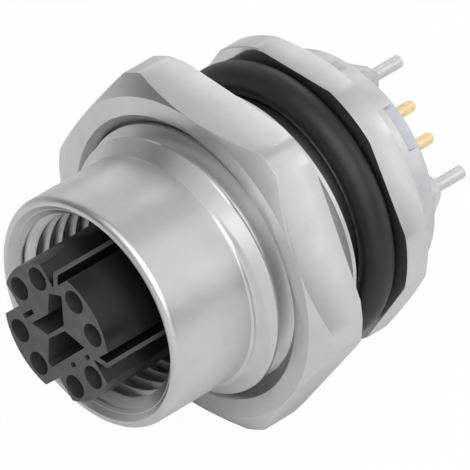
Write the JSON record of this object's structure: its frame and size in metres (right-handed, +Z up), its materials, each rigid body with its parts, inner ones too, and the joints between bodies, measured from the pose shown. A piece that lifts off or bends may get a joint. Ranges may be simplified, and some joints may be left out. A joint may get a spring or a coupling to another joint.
{
  "type": "circular panel connector",
  "caption": "Threaded panel receptacle with a coded socket insert, hexagon nut, sealing ring, hexagon flange and rear solder tails.",
  "frame": {"origin": "on the connector's axis, in the plane of the flange face that seats behind the panel", "axes": "+Y rearward along the axis, from the mating face to the solder tails; +Z up, square to a flat of both hexagons; +X to the right seen from the mating face"},
  "size_m": [0.0216, 0.0263, 0.0194],
  "materials": {
    "plated_metal": "satin nickel plate",
    "plated_nut": "satin nickel plate",
    "cast_metal": "matt nickel plate on a zinc casting",
    "seal_rubber": "matt moulded rubber",
    "insert_plastic": "fine matt moulding",
    "holder_plastic": "fine matt moulding",
    "contact_gold": "gold plate"
  },
  "bodies": {
    "receptacle": {"housing": "plated_metal", "panel_seal": "seal_rubber", "contact_carrier": "insert_plastic", "insert_seal": "seal_rubber", "shield_cross": "plated_metal", "rear_holder": "holder_plastic", "shield_ring": "cast_metal", "contact_1": "contact_gold", "contact_2": "contact_gold", "contact_3": "contact_gold", "contact_4": "contact_gold", "contact_5": "contact_gold", "contact_6": "contact_gold", "contact_7": "contact_gold", "contact_8": "contact_gold"},
    "nut": {"hex_nut": "plated_nut"}
  },
  "joints": [
    {"name": "nut_travel", "type": "slide", "parent": "receptacle", "child": "nut", "axis": [0, -1, 0], "range_m": [-0.003, 0.0165]}
  ]
}
